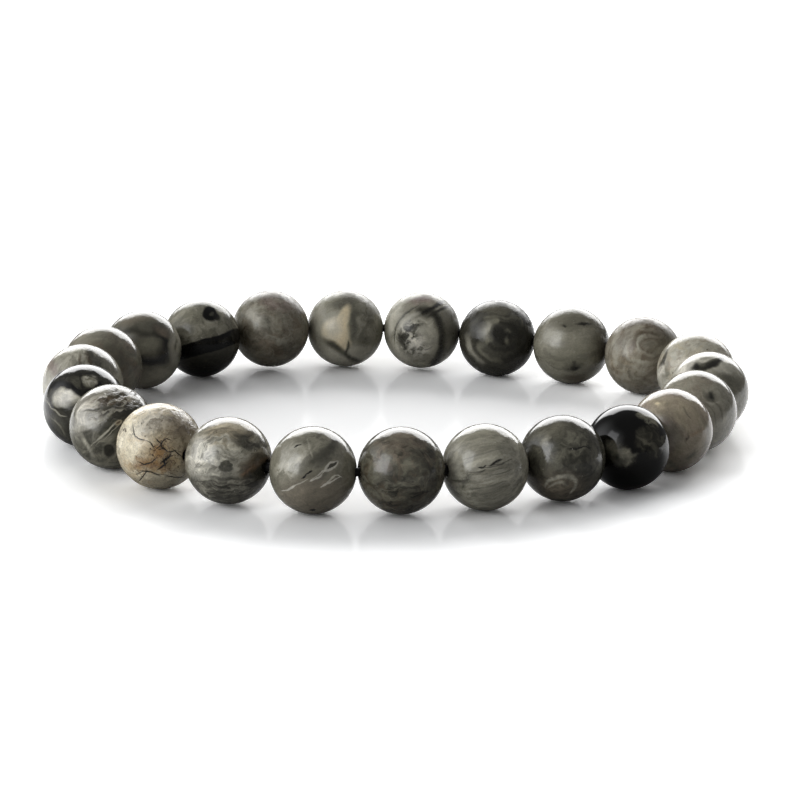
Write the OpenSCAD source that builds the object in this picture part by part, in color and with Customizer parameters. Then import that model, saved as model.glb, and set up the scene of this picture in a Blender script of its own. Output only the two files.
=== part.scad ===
// Stretch bracelet of round polished stone beads on a closed elastic cord, as it lies on a
// table. X runs across the front, Y runs away from it and Z runs up, in millimetres. The
// origin is on the table, under the middle of the whole loop.

/* [Beads] */
// Diameter of a bead
bead_d = 8; // [7:0.5:10]
// Diameter of the hole drilled through a bead
hole_d = 1.2; // [1.1:0.1:1.5]
// Diameter of the hole's countersunk mouth
mouth_d = 1.6; // [1.6:0.1:2.2]
// Clearance between neighbouring beads
bead_gap = 0.06; // [0.04:0.01:0.12]

/* [Cord] */
// Diameter of the elastic cord
cord_d = 0.8; // [0.6:0.1:0.9]
// Distance before and after each corner over which the cord bends
bend_reach = 0.6; // [0.4:0.1:1]
// Length of the swelling that the knot makes inside a bead's hole
knot_length = 2.4; // [1.5:0.1:3]

/* [Lie of the loop] */
// Direction of the first bead's hole, seen from above, in degrees from X
start_heading = -74; // [-180:1:180]

/* [Hidden] */
// Colours of the stones
black = "#2a2d2c";
charcoal = "#464946";
olive = "#5c5e56";
taupe = "#7b746b";
grey = "#787973";
pale = "#92908a";
cream = "#b5a992";
cord_colour = "#1d1d1d";

// One row for each bead, from the left end of the loop, along the front to the right end
// and back behind. The columns are the turn of the cord between this bead and the next one
// in degrees, the height at which the cord holds the bead off the table, and its stone.
TURN = 0;
LIFT = 1;
STONE = 2;
beads = [
    [15, 0.0, charcoal],
    [14, 0.0, grey],
    [21, 0.0, cream],
    [19, 0.1, grey],
    [17, 0.0, grey],
    [11, 0.1, olive],
    [7, 0.0, grey],
    [17, 0.1, olive],
    [18, 0.0, black],
    [8, 0.0, taupe],
    [8, 0.0, taupe],
    [28, 0.0, pale],
    [39, 0.0, pale],
    [14, 0.0, taupe],
    [3, 0.0, grey],
    [7, 0.0, charcoal],
    [15, 0.2, grey],
    [16, 0.1, pale],
    [13, 0.3, taupe],
    [18, 0.0, charcoal],
    [21, 0.0, olive],
    [12, 0.0, taupe],
    [19, 0.0, pale],
];
bead_count = len(beads);
last = bead_count - 1;

// Distance between the middles of neighbouring beads
pitch = bead_d + bead_gap;
// Depth of a mouth's cone, which opens at 45 degrees
mouth_depth = (mouth_d - hole_d) / 2;
// Distance of a mouth's rim from the bead's middle
mouth_at = sqrt(pow(bead_d / 2, 2) - pow(mouth_d / 2, 2));
// How far the mouth's cutting shape reaches past the bead
reach = 1;
round_fn = 64;

// Number of sides of the cord, and the bead that hides its knot
cord_sides = 8;
knot_bead = 22;
// The knot fills half of the room that the cord leaves in the hole
knot_d = (cord_d + hole_d) / 2;
// Stations of the knot along the cord: place, as a share of its length, and diameter
knot_stations = [[-0.5, cord_d], [-0.2, knot_d], [0.2, knot_d], [0.5, cord_d]];

// Vectors in the plane of the table
function along(angle) = [cos(angle), sin(angle)];
function outward(angle) = along(angle - 90);
function flat_vec(p, z) = [p.x, p.y, z];
function next(i) = (i + 1) % bead_count;

// Direction of each bead's hole: the start, and the turns up to that bead
function turned(i) = i == 0 ? 0 : turned(i - 1) + beads[i - 1][TURN];
function heading(i) = start_heading + turned(i);
// Direction of the step from a bead's middle to the next one's
function step_heading(i) = heading(i) + beads[i][TURN] / 2;

// Middles of the beads after the given number of steps, before the loop is closed
function walked(i) = i == 0 ? [0, 0] : walked(i - 1) + pitch * along(step_heading(i - 1));
// What the last step misses the start by, shared out over all the steps
closing_error = walked(bead_count);
function closed(i) = walked(i) - closing_error * i / bead_count;
// Middle of the loop's extent, which goes to the origin
xs = [for (i = [0:last]) closed(i).x];
ys = [for (i = [0:last]) closed(i).y];
loop_middle = [max(xs) + min(xs), max(ys) + min(ys)] / 2;
middles = [for (i = [0:last]) flat_vec(closed(i) - loop_middle, bead_d / 2 + beads[i][LIFT])];

// The cord runs straight through each bead and turns between them, at a corner that lies
// outside the point where the two beads meet
function corner(i) =
    let (touch = (middles[i] + middles[next(i)]) / 2)
    let (offset = pitch / 2 * tan(beads[i][TURN] / 2))
    touch + flat_vec(offset * outward(step_heading(i)), 0);
function toward(from, to, distance) = from + distance * (to - from) / norm(to - from);

// A station of the cord is its middle, its direction and its diameter
function corner_stations(i) =
    let (turn_at = corner(i))
    let (before = toward(turn_at, middles[i], bend_reach))
    let (after = toward(turn_at, middles[next(i)], bend_reach))
    [
        [before, heading(i), cord_d],
        [(before + 2 * turn_at + after) / 4, step_heading(i), cord_d],
        [after, heading(i) + beads[i][TURN], cord_d],
    ];
function knot_in(i) = [
    for (row = knot_stations)
        [middles[i] + flat_vec(row[0] * knot_length * along(heading(i)), 0), heading(i), row[1]]
];
stations = [
    for (i = [0:last])
        each concat(i == knot_bead ? knot_in(i) : [], corner_stations(i))
];
ring_count = len(stations);

// Points of one ring, upright across the cord's direction
function ring(station) = [
    for (side = [0:cord_sides - 1])
        let (angle = 360 * side / cord_sides)
        let (across = outward(station[1]) * cos(angle))
        station[0] + station[2] / 2 * flat_vec(across, sin(angle))
];
function point_no(ring_no, side) = (ring_no % ring_count) * cord_sides + side % cord_sides;

function two_digits(i) = str(i < 10 ? "0" : "", i);
function bead_name(i) = str("bead_", two_digits(i + 1));

// Half of a bead's section, on the +X side of its hole, which runs along Y here
module bead_section() {
    difference() {
        circle(d = bead_d, $fn = round_fn);
        translate([-bead_d, -bead_d]) square([bead_d + hole_d / 2, 2 * bead_d]);
        for (end = [-1, 1])
            polygon([
                [0, end * (mouth_at - mouth_depth)],
                [hole_d / 2, end * (mouth_at - mouth_depth)],
                [hole_d / 2 + mouth_depth + reach, end * (mouth_at + reach)],
                [0, end * (mouth_at + reach)],
            ]);
    }
}

// A bead is turned round its own hole, which then lies along the cord
module bead(i) {
    color(beads[i][STONE])
        translate(middles[i])
            rotate([0, 90, heading(i)])
                rotate_extrude($fn = round_fn) bead_section();
}

module elastic_cord() {
    points = [for (station = stations) each ring(station)];
    faces = [
        for (r = [0:ring_count - 1])
            for (s = [0:cord_sides - 1])
                each [
                    [point_no(r, s), point_no(r, s + 1), point_no(r + 1, s + 1)],
                    [point_no(r, s), point_no(r + 1, s + 1), point_no(r + 1, s)],
                ]
    ];
    color(cord_colour) polyhedron(points, faces);
}

for (i = [0:last])
    bead(i);
elastic_cord();
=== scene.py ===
# Looks of a stretch bracelet of round polished stone beads, as it lies on a white table.
# Lengths are in metres where no name says otherwise. MM turns millimetres into metres.
import math

import bpy
from mathutils import Matrix, Vector, noise


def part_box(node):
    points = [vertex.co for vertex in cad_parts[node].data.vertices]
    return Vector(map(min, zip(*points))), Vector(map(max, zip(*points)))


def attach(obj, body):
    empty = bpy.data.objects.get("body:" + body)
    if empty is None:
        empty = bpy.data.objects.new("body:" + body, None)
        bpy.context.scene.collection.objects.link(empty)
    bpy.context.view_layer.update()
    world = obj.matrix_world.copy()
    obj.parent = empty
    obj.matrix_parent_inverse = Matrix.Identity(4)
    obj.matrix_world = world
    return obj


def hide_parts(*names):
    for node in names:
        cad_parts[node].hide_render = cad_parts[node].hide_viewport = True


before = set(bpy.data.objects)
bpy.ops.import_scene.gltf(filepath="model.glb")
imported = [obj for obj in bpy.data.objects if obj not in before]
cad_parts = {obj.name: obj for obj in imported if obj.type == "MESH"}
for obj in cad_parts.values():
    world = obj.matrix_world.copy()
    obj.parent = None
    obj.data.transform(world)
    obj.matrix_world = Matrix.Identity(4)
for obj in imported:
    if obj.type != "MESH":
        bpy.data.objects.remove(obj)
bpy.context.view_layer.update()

MM = 0.001

# Sizes of the part, as its source has them
BEAD_RADIUS = 4.0 * MM
HOLE_RADIUS = 0.6 * MM
CORD_RADIUS = 0.4 * MM
KNOT_RADIUS = 0.5 * MM
KNOT_LENGTH = 2.4 * MM
KNOT_BEAD = 23
# The cord bends over this distance before and after each corner between two beads
BEND_REACH = 0.6 * MM
# Direction of the first bead's hole seen from above, and the turns of the cord between
# each bead and the next one, in degrees
START_HEADING = -74
TURNS = (15, 14, 21, 19, 17, 11, 7, 17, 18, 8, 8, 28, 39, 14, 3, 7, 15, 16, 13, 18, 21, 12, 19)
BEAD_COUNT = len(TURNS)
HEADINGS = [math.radians(START_HEADING + sum(TURNS[:i])) for i in range(BEAD_COUNT)]

# Outer radius of the rounded lip at a hole, where the source has a sharp edge at 0.8 mm
LIP_RADIUS = 0.72 * MM
# Rings along a bead and sides round it. The cracked bead has more of both
BEAD_FINENESS = (60, 96)
CRACKED_FINENESS = (120, 200)
# Sides of the cord, and its steps along the knot and along each bend
CORD_SIDES = 16
KNOT_STEPS = 12
BEND_STEPS = 6

# Sizes in bead radii: the height of the hand polishing's waves, and how close they lie
POLISH = 0.002
POLISH_SCALE = 1.7
# The cracked bead: how deep and how wide its cracks are, how deep its pits are, how close they
# lie, how few they are and how steep, and how rough it is all over
CRACKED_BEAD = 3
CRACK_DEPTH = 0.008
CRACK_REACH = 0.05
PIT_DEPTH = 0.012
PIT_SCALE = 6.5
PIT_START = 0.28
PIT_SLOPE = 0.08
ROUGHNESS = 0.005
ROUGHNESS_SCALE = 3.0

# The camera stands in front of the bracelet and looks down at it
CAMERA_PLACE = Vector((0.25, -355.1, 95.95)) * MM
CAMERA_PITCH = math.radians(14.567)
CAMERA_ROLL = math.radians(-1.842)
SENSOR_WIDTH = 36.0
LENS = 168.15
NEAREST_SEEN = 0.01
FARTHEST_SEEN = 20

# The soft boxes of the studio, as azimuths from straight behind the bracelet to the right and
# heights above the table, in degrees, with how bright each one is
BACK_PANEL = {"azimuth": (-31, 38), "height": (9, 44), "soft": 3, "light": 5.5}
LEFT_WINDOW = {"azimuth": (-140, -106), "height": (3, 46), "soft": 4, "light": 2.4}
LEFT_FILL = {"azimuth": (-150, -65), "height": (-10, 42), "soft": 22, "light": 1.65}
# The light from the left is a little cool: its red and its green, as shares of its blue
LEFT_RED = 0.97
LEFT_GREEN = 0.985
AMBIENT = 0.18

# Half the side of the table, how shiny it is and how dull its shine is
FLOOR_HALF = 2.0
FLOOR_SHINE = 0.03
FLOOR_DULLNESS = 0.12
# The table is painted darker to the eye inside an oval round the bracelet, where its shadows lie, and
# overexposed white outside it:
# its brightness rises from the first to the second between these distances from the middle of the oval,
# which is squeezed along X and lies a little left of the bracelet's middle
FLOOR_GAIN = 1.14
FLOOR_RIM_GAIN = 1.85
FLOOR_INSIDE = 27 * MM
FLOOR_OUTSIDE = 52 * MM
FLOOR_SQUEEZE = 1.38
FLOOR_SHIFT = 6 * MM
# How bright the stones see the table, and how bright they mirror it outside the loop, with
# where that begins
FLOOR_BOUNCE = 0.31
FLOOR_MIRROR = 1.8
MIRROR_INSIDE = 40 * MM
MIRROR_OUTSIDE = 52 * MM
MIRROR_FRONT = -18 * MM
MIRROR_BACK = -2 * MM

# The cord's two blacks, how close its grain lies, in steps for each metre, and its dull finish
CORD_DARK = (0.004, 0.004, 0.0035, 1)
CORD_LIGHT = (0.014, 0.013, 0.012, 1)
CORD_GRAIN = 9000
CORD_DULLNESS = 0.55
CORD_GLOSS = 0.25

# Refraction of jasper
JASPER_IOR = 1.54
# The far side of a stone begins at this depth, on a seam that wanders up and down
SEAM = -0.12
SEAM_WANDER = 0.3
# Depth of a mark that is cut off by no depth
ENDLESS = 30
# How far the oval that holds some marks fades, in hundredths
OVAL_SOFT = 35
# How close the stone's features lie, in steps for each bead radius: the waves and ripples that bend
# the marks, the smears of the polish, the veils and fibres of the flow, the grain and the pores
WAVE_SCALE = 1.6
RIPPLE_SCALE = 7
SMEAR_SCALE = 5
VEIL_SCALE = 2.2
FIBRE_SCALE = 7
GRAIN_SCALE = 26
PORE_SCALE = 9
# How much stronger than stated the waves and ripples are
WAVE_GAIN = 1.6
# How far the grain darkens and lightens the stone
GRAIN_DARK = 0.92
GRAIN_LIGHT = 1.08
# The bump of the dents and pores: its strength, and its height in bead radii
BUMP_STRENGTH = 0.5
BUMP_HEIGHT = 0.05

# Colours of the stone's minerals. Pale, fog, chalk, ash and ivory also paint highlights, reflections and
# light on a few stones
COLOURS = {
    "black": "#080807",
    "ink": "#1d1c17",
    "charcoal": "#323028",
    "moss": "#3d3c32",
    "slate": "#514f45",
    "olive": "#605d50",
    "umber": "#4e4232",
    "brown": "#84694f",
    "taupe": "#7f7465",
    "rose": "#857770",
    "ash": "#7b7869",
    "grey": "#8f8b7c",
    "sage": "#8a8776",
    "fog": "#aaa697",
    "pale": "#c2beaf",
    "chalk": "#dad5c8",
    "ochre": "#b0864f",
    "sand": "#b1a58c",
    "tan": "#b79d75",
    "cream": "#dccdac",
    "ivory": "#fbf0d4",
}

# Cracks in the third stone, as the places that each one joins, in hundredths of its radius
CRACKS = [
    [(-61, 46), (-59, 34), (-56, 24), (-47, 17), (-37, 14), (-27, 11), (-20, 7), (-15, 0), (-5, -5)],
    [(-5, -5), (3, 3), (8, 11), (17, 16), (24, 14)],
    [(0, -8), (10, -5), (16, -10), (27, -13), (35, -11), (46, -20)],
    [(25, -20), (20, -27), (10, -34), (12, -42), (2, -50)],
    [(-48, -63), (-34, -58), (-20, -60), (-6, -66), (12, -66)],
    [(20, -69), (35, -71), (47, -72), (58, -67)],
    [(-45, -78), (-37, -70), (-31, -62), (-30, -55)],
    [(-10, -30), (-20, -38), (-34, -42), (-44, -38)],
    [(-5, 14), (3, 6), (6, -2)],
]


def bead_name(number):
    return f"bead_{number:02d}"


def bead_middle(number):
    low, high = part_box(bead_name(number))
    return (low + high) / 2


def in_radii(hundredths):
    """A place or a size in bead radii, from hundredths of them."""
    return [part / 100 for part in hundredths]


def level_way(heading):
    """A direction in the plane of the table."""
    return Vector((math.cos(heading), math.sin(heading), 0))


def curve(start, corner, end, share):
    """What lies at that share of the way from start to end, bending round the corner."""
    return (1 - share) ** 2 * start + 2 * share * (1 - share) * corner + share ** 2 * end


def linear(hex_colour):
    """A colour from its sRGB hex code, as Blender wants it."""
    channels = [int(hex_colour[i:i + 2], 16) / 255 for i in (1, 3, 5)]
    lin = [c / 12.92 if c <= 0.04045 else ((c + 0.055) / 1.055) ** 2.4 for c in channels]
    return (*lin, 1.0)


def camera_axes():
    """Right, up and backward directions of the camera."""
    right = Vector((1, 0, 0))
    forward = Vector((0, math.cos(CAMERA_PITCH), -math.sin(CAMERA_PITCH)))
    up = right.cross(forward)
    turned_right = math.cos(CAMERA_ROLL) * right - math.sin(CAMERA_ROLL) * up
    turned_up = math.sin(CAMERA_ROLL) * right + math.cos(CAMERA_ROLL) * up
    return turned_right, turned_up, -forward


def axes_matrix(x_axis, y_axis, z_axis, place):
    matrix = Matrix((x_axis, y_axis, z_axis)).transposed().to_4x4()
    matrix.translation = place
    return matrix


def link_piece(name, data):
    piece = bpy.data.objects.new(name, data)
    bpy.context.scene.collection.objects.link(piece)
    return piece


def make_camera():
    data = bpy.data.cameras.new("camera")
    data.sensor_width = SENSOR_WIDTH
    data.lens = LENS
    data.clip_start = NEAREST_SEEN
    data.clip_end = FARTHEST_SEEN
    camera = link_piece("camera", data)
    camera.matrix_world = axes_matrix(*camera_axes(), CAMERA_PLACE)
    bpy.context.scene.camera = camera


def circle(middle, side, other, radius, count):
    """Places round a circle, from the one direction towards the other."""
    angles = [2 * math.pi * i / count for i in range(count)]
    return [middle + (side * math.cos(a) + other * math.sin(a)) * radius for a in angles]


def tube_mesh(name, circles, inside_out=False):
    """A smooth mesh that joins each circle of places to the next one, and the last to the first."""
    sides = len(circles[0])
    faces = []
    for r in range(len(circles)):
        here = r * sides
        there = (r + 1) % len(circles) * sides
        for s in range(sides):
            after = (s + 1) % sides
            a, b, c, d = here + s, here + after, there + after, there + s
            faces.append((a, d, c, b) if inside_out else (a, b, c, d))
    mesh = bpy.data.meshes.new(name)
    mesh.from_pydata([place for places in circles for place in places], [], faces)
    mesh.validate()
    for polygon in mesh.polygons:
        polygon.use_smooth = True
    return mesh


def bead_profile(rings):
    """Half of a bead's section as (along the hole, away from it) pairs, in bead radii."""
    mouth = LIP_RADIUS / BEAD_RADIUS
    hole = HOLE_RADIUS / BEAD_RADIUS
    start = math.asin(mouth)
    angles = [start + (math.pi - 2 * start) * i / rings for i in range(rings + 1)]
    points = [(math.cos(angle), math.sin(angle)) for angle in angles]
    # A rounded lip leads from the sphere into the hole at each end
    rim = math.cos(start)
    corner = math.cos(math.asin(hole))
    wall = rim - (mouth - hole)
    shares = (0.25, 0.5, 0.75, 1)
    lip = [(curve(rim, corner, wall, share), curve(mouth, hole, hole, share)) for share in shares]
    points += [(-along, away) for along, away in lip]
    points += [(-wall * share, hole) for share in (0.6, 0.2, -0.2, -0.6)]
    points += lip[::-1]
    return points


def polish(number, unit):
    """How far the hand polishing left a place off the true sphere, in bead radii."""
    return POLISH * noise.noise(unit * POLISH_SCALE + Vector((number * 5.3, number * 2.9, 0)))


def gap_to_stroke(place, start, end):
    """Distance of a place from a straight stroke, all in the picture's plane."""
    along = end - start
    share = max(0.0, min(1.0, (place - start).dot(along) / along.length_squared))
    return (place - start - share * along).length


def carving(unit):
    """How deep the third bead's cracks, pits and roughness go at a place, in bead radii."""
    depth = 0.0
    if unit.z > 0:
        place = unit.to_2d()
        for crack in CRACKS:
            for start, end in zip(crack, crack[1:]):
                gap = gap_to_stroke(place, Vector(in_radii(start)), Vector(in_radii(end)))
                depth = max(depth, CRACK_DEPTH * (1 - gap / CRACK_REACH))
    pitting = noise.noise(unit * PIT_SCALE + Vector((4.1, 2.7, 9.3))) - PIT_START
    depth = max(depth, min(PIT_DEPTH, max(0.0, pitting) * PIT_SLOPE))
    return depth + ROUGHNESS * noise.fractal(unit * ROUGHNESS_SCALE, 1.0, 2.2, 4)


def bead_mesh(number, matrix):
    cracked = number == CRACKED_BEAD
    rings, sides = CRACKED_FINENESS if cracked else BEAD_FINENESS
    axis = (matrix.to_3x3().transposed() @ level_way(HEADINGS[number - 1])).normalized()
    side = axis.cross(Vector((0, 0, 1)) if abs(axis.z) < 0.9 else Vector((1, 0, 0))).normalized()
    other = axis.cross(side)
    circles = []
    for along, away in bead_profile(rings):
        places = []
        for unit in circle(axis * along, side, other, away, sides):
            carved = carving(unit) if cracked else 0
            places.append(unit * BEAD_RADIUS * (1 + polish(number, unit) - carved))
        circles.append(places)
    return tube_mesh(bead_name(number) + "_stone", circles, inside_out=True)


class Nodes:
    """A tree of nodes, with short calls for those that the materials use most."""

    def __init__(self, tree):
        self.tree = tree

    def put(self, node, values):
        """Sets each input that is named in values, or links it where the value is a socket."""
        for key, value in values.items():
            if isinstance(value, bpy.types.NodeSocket):
                self.tree.links.new(value, node.inputs[key])
            else:
                node.inputs[key].default_value = value

    def add(self, kind, values=None, **settings):
        node = self.tree.nodes.new(kind)
        for key, value in settings.items():
            setattr(node, key, value)
        self.put(node, values or {})
        return node

    def compute(self, operation, *values):
        return self.add("ShaderNodeMath", dict(enumerate(values)), operation=operation).outputs[0]

    def combine(self, operation, *vectors):
        return self.add("ShaderNodeVectorMath", dict(enumerate(vectors)), operation=operation).outputs[0]

    def scaled(self, vector, share):
        return self.add("ShaderNodeVectorMath", {0: vector, "Scale": share}, operation="SCALE").outputs[0]

    def length(self, vector):
        return self.add("ShaderNodeVectorMath", {0: vector}, operation="LENGTH").outputs["Value"]

    def times(self, first, second):
        return self.compute("MULTIPLY", first, second)

    def split(self, vector):
        return self.add("ShaderNodeSeparateXYZ", {0: vector}).outputs

    def mix(self, share, first, second):
        return self.add("ShaderNodeMix", {0: share, 6: first, 7: second}, data_type="RGBA").outputs[2]

    def grain(self, place, scale, detail, **more):
        values = {"Vector": place, "Scale": scale, "Detail": detail, **more}
        return self.add("ShaderNodeTexNoise", values).outputs

    def ramp(self, value, low, high, bottom=0, top=1):
        """Goes smoothly from bottom to top while the value goes from low to high."""
        return self.add("ShaderNodeMapRange", {
            "Value": value, "From Min": low, "From Max": high, "To Min": bottom, "To Max": top},
            interpolation_type="SMOOTHSTEP").outputs[0]


def new_material(name):
    material = bpy.data.materials.new(name)
    material.use_nodes = True
    return material


def smooth_path(points, steps):
    """Places along a smooth curve through the points, steps of them from each to the next."""
    ends = [points[0], *points, points[-1]]
    path = []
    for a, b, c, d in zip(ends, ends[1:], ends[2:], ends[3:]):
        for step in range(steps):
            t = step / steps
            path.append(tuple(0.5 * (2 * q + (r - p) * t + (2 * p - 5 * q + 4 * r - s) * t ** 2
                                     + (3 * q - p - 3 * r + s) * t ** 3)
                              for p, q, r, s in zip(a, b, c, d)))
    return path + [points[-1]]


class Stone(Nodes):
    """The material of one bead: a ground colour and the marks painted over it in turn.

    The places are those of the bead's own axes: X to the right, Y up and Z towards the
    photograph's camera. The far side shows the same marks, turned round. Of a mark, at, size,
    points, spacing, reach and the width of a line or an arc are in hundredths of the bead's
    radius. soft, which says how far its edge fades, share and strength are in hundredths. turn
    is a tilt in degrees, wavy says how far the stone's waves bend the mark, and dent how deep
    it lies."""

    def __init__(self, number, ground, gloss=0.5, roughness=0.1, waves=0.12, ripples=0.03, relief=0.2,
                 flow=(20, 2, 0.25), fine=1):
        self.material = new_material(f"stone_{number:02d}")
        super().__init__(self.material.node_tree)
        self.flow = flow
        self.fine = fine
        self.relief = relief
        self.seed = Vector((number * 3.1, number * 7.7, number * 1.3))
        self.around = self.scaled(self.add("ShaderNodeTexCoord").outputs["Object"], 1 / BEAD_RADIUS)
        self.base = self.two_sided(number * 2.4)
        self.warp = self.combine("ADD", self.waving(WAVE_SCALE, 2, waves * WAVE_GAIN),
                                 self.waving(RIPPLE_SCALE, 3, ripples * WAVE_GAIN))
        self.warps = {}
        self.colour = linear(COLOURS[ground])
        self.height = None
        smears = self.grain(self.base, SMEAR_SCALE, 4)[0]
        self.put(self.tree.nodes["Principled BSDF"], {
            "IOR": JASPER_IOR, "Specular IOR Level": gloss,
            "Roughness": self.ramp(smears, 0.3, 0.75, roughness * 0.6, roughness * 1.8)})

    def two_sided(self, angle):
        """Places on the far side are turned round an axis in the plane of the picture."""
        turned = self.add("ShaderNodeVectorRotate", {
            "Vector": self.around, "Angle": math.pi, "Axis": level_way(angle)},
            rotation_type="AXIS_ANGLE").outputs[0]
        wander = self.grain(self.around, 2.5, 3)[0]
        wandered = self.compute("MULTIPLY_ADD", wander, SEAM_WANDER, self.split(self.around)["Z"])
        far = self.compute("LESS_THAN", wandered, SEAM + SEAM_WANDER / 2)
        return self.add("ShaderNodeMix", {0: far, 4: self.around, 5: turned}, data_type="VECTOR").outputs[1]

    def waving(self, scale, detail, size):
        """Shifts of that size that change from place to place."""
        moved = self.combine("ADD", self.base, self.seed * scale)
        centred = self.combine("SUBTRACT", self.grain(moved, scale, detail)["Color"], (0.5, 0.5, 0.5))
        return self.scaled(centred, 2 * size)

    def warped(self, wavy):
        if wavy not in self.warps:
            self.warps[wavy] = self.combine("MULTIPLY_ADD", self.warp, (wavy,) * 3, self.base)
        return self.warps[wavy]

    def framed(self, place, at, size, turn, depth=None):
        """Places seen from at, turned back and divided by size, with both in bead radii."""
        x, y = at
        z = math.sqrt(max(0.0, 1 - x * x - y * y))
        return self.add("ShaderNodeMapping", {
            "Vector": place, "Location": (x, y, z), "Rotation": (0, 0, math.radians(turn)),
            "Scale": (*size, depth or 0.6 + max(size))}, vector_type="TEXTURE").outputs[0]

    def stretched(self, place, turn, stretch):
        return self.add("ShaderNodeMapping", {
            "Vector": place, "Location": self.seed, "Rotation": (0, 0, math.radians(turn)),
            "Scale": (stretch, 1, 1)}, vector_type="TEXTURE").outputs[0]

    def inside(self, distance, reach, soft, strength):
        """Fades from the strength to nothing where the distance passes the reach."""
        fade = soft / 100
        return self.ramp(distance, reach * (1 - fade), reach * (1 + fade), strength / 100, 0)

    def above(self, value, middle, fade, strength):
        return self.ramp(value, middle - fade, middle + fade, 0, strength / 100)

    def oval(self, place, at, size, turn, soft, strength=100):
        framed = self.framed(place, in_radii(at), in_radii(size), turn)
        return self.inside(self.length(framed), 1, soft, strength)

    def within(self, mask, place, at, size, turn):
        return self.times(mask, self.oval(place, at, size, turn, OVAL_SOFT)) if at else mask

    def paint(self, mask, colour, dent):
        self.colour = self.mix(mask, self.colour, linear(COLOURS[colour]))
        if dent:
            step = self.times(mask, -dent)
            self.height = step if self.height is None else self.compute("ADD", self.height, step)

    def patch(self, colour, at, size, turn=0, soft=70, strength=70, wavy=1, dent=0):
        """An oval of one mineral, or of painted light where a chart says so. size is its half length and
        half width.
        """
        self.paint(self.oval(self.warped(wavy), at, size, turn, soft, strength), colour, dent)

    def arc(self, colour, at, size, turn=0, spread=60, width=4, soft=90, strength=60, wavy=0.8, dent=0):
        """A stretch of an oval ring round at. It faces turn degrees and reaches spread to both sides."""
        framed = self.framed(self.warped(wavy), in_radii(at), in_radii(size), turn, ENDLESS)
        distance = self.length(framed)
        off = self.compute("ABSOLUTE", self.compute("SUBTRACT", distance, 1))
        ring = self.inside(off, width / 100 / min(in_radii(size)), soft, strength)
        facing = self.compute("DIVIDE", self.split(framed)["X"], distance)
        edge = math.cos(math.radians(spread))
        self.paint(self.times(ring, self.ramp(facing, edge - 0.08, edge + 0.12)), colour, dent)

    def line(self, colour, points, width=2, soft=90, strength=100, wavy=0.4, dent=0, uneven=0.5, steps=2):
        """A smooth tapered stroke through the points. uneven is how much its width changes."""
        place = self.warped(wavy)
        path = smooth_path([in_radii(point) for point in points], steps)
        nearest = None
        for i, ((x0, y0), (x1, y1)) in enumerate(zip(path, path[1:])):
            taper = 1 - abs(2 * (i + 0.5) / (len(path) - 1) - 1) ** 3 * 0.7
            change = 1 + uneven * noise.noise(Vector((i * 0.7, path[0][0] * 9, path[0][1] * 9)))
            half = math.hypot(x1 - x0, y1 - y0) / 2
            turn = math.degrees(math.atan2(y1 - y0, x1 - x0))
            size = (half * 1.8 + width / 100 * 0.6, width / 100 * taper * change)
            distance = self.length(self.framed(place, ((x0 + x1) / 2, (y0 + y1) / 2), size, turn))
            nearest = distance if nearest is None else self.compute("MINIMUM", nearest, distance)
        self.paint(self.inside(nearest, 1, soft, strength), colour, dent)

    def cloud(self, colour, scale, share=50, soft=16, strength=100, at=None, size=(100, 100), turn=0,
              stretch=1, wavy=1, dent=0):
        """Cloudy blotches that cover about share of the stone, or of the oval at at."""
        place = self.warped(wavy)
        fog = self.grain(self.stretched(place, turn, stretch), scale, 7, Roughness=0.58, Distortion=0.7)[0]
        mask = self.above(fog, 0.5 + (0.5 - share / 100) * 0.5, soft / 100, strength)
        self.paint(self.within(mask, place, at, size, turn), colour, dent)

    def swirl(self, colour, at, size, spacing=24, share=50, soft=50, strength=50, wavy=1, squeeze=1,
              turn=0, reach=None, dent=0):
        """Rings round at, spacing apart, in the oval of that size round reach."""
        place = self.warped(wavy)
        distance = self.length(self.framed(place, in_radii(at), (1, squeeze), turn, ENDLESS))
        wave = self.compute("SINE", self.times(distance, 2 * math.pi / (spacing / 100)))
        rings = self.above(wave, 1 - share / 50, soft / 50, strength)
        self.paint(self.within(rings, place, reach or at, size, turn), colour, dent)

    def specks(self, colour, scale, radius=0.12, share=30, at=None, size=(100, 100), strength=100,
               wavy=0.3, dent=0):
        """Small round grains, share of them shown, with a radius in shares of their distance."""
        place = self.warped(wavy)
        cells = self.add("ShaderNodeTexVoronoi", {"Vector": place, "Scale": scale}).outputs
        near = self.ramp(cells["Distance"], radius * 0.6, radius, strength / 100, 0)
        pick = self.add("ShaderNodeSeparateColor", {0: cells["Color"]}).outputs[0]
        mask = self.times(near, self.compute("LESS_THAN", pick, share / 100))
        self.paint(self.within(mask, place, at, size, 0), colour, dent)

    def crackle(self, colour, scale, width=0.04, at=None, size=(100, 100), strength=100, wavy=1.5, dent=0):
        """A net of fine cracks, with a width in shares of their distance."""
        place = self.warped(wavy)
        cells = self.add("ShaderNodeTexVoronoi", {"Vector": self.stretched(place, 0, 1), "Scale": scale},
                         feature="DISTANCE_TO_EDGE").outputs
        mask = self.ramp(cells["Distance"], width * 0.4, width, strength / 100, 0)
        self.paint(self.within(mask, place, at, size, 0), colour, dent)

    def fibres(self, scale, share):
        """Soft lighter and darker veils drawn out along the stone's flow."""
        turn, stretch, strength = self.flow
        place = self.stretched(self.warped(1.5), turn, stretch)
        veil = self.grain(place, scale, 8, Roughness=0.6, Distortion=0.6)[0]
        return self.ramp(veil, 0.3, 0.7, 1 - strength * share, 1 + strength * share)

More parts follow.
